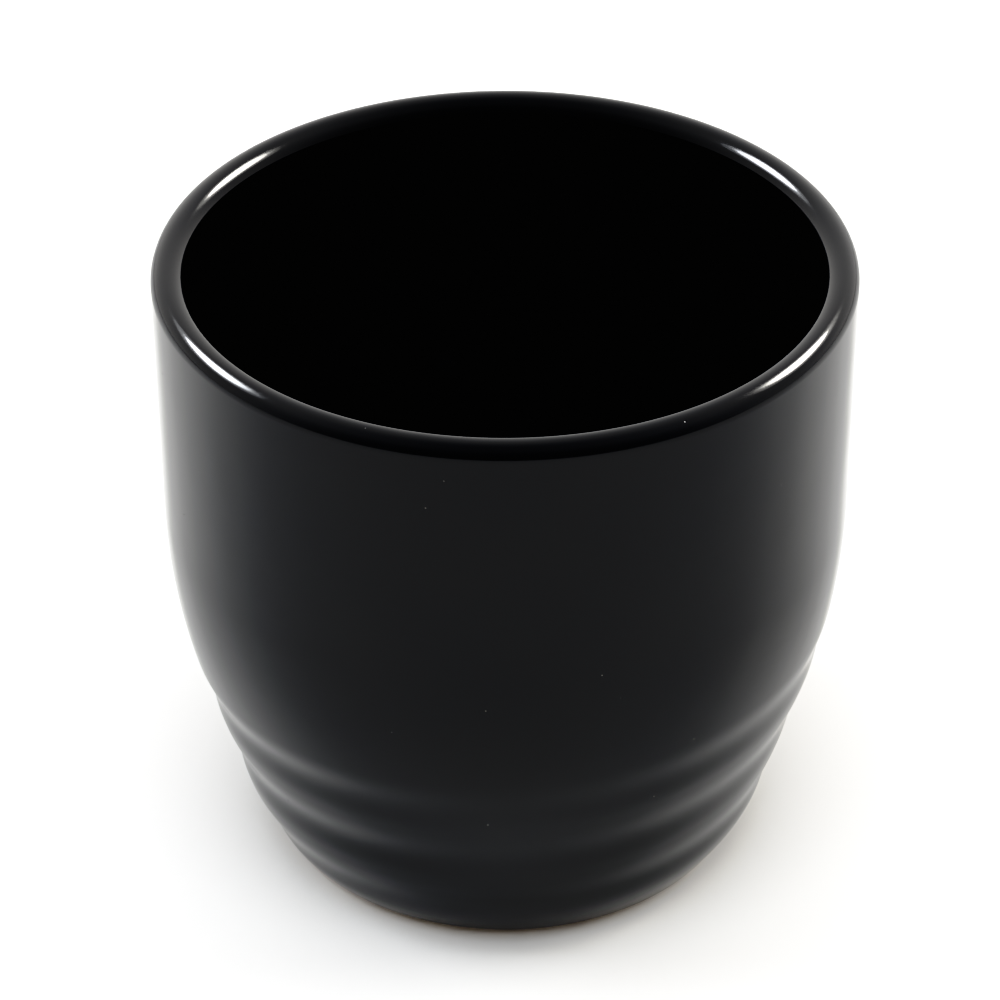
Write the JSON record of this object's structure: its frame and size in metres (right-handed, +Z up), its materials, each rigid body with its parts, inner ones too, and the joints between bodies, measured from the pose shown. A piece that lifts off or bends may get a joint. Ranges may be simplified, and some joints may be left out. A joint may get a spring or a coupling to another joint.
{
  "type": "empty candle jar",
  "caption": "Open, footed ceramic cup for poured candles: glazed inside and out, straight mouth, grooved lower wall that tapers to a bare foot ring.",
  "frame": {"origin": "centre of the foot ring, on the table", "axes": "+Z up along the cup's axis; the cup is round about +Z, so X and Y are free"},
  "size_m": [0.084, 0.084, 0.0805],
  "materials": {
    "bare_clay": "matt, fine grained, unglazed",
    "liner_glaze": "gloss black glaze",
    "outer_glaze": "gloss black glaze with a faint orange-peel surface",
    "foot_well_glaze": "gloss black glaze, slightly uneven"
  },
  "bodies": {
    "root": {"clay_body": "bare_clay", "liner_glaze": "liner_glaze", "outer_glaze": "outer_glaze", "foot_well_glaze": "foot_well_glaze"}
  },
  "joints": []
}
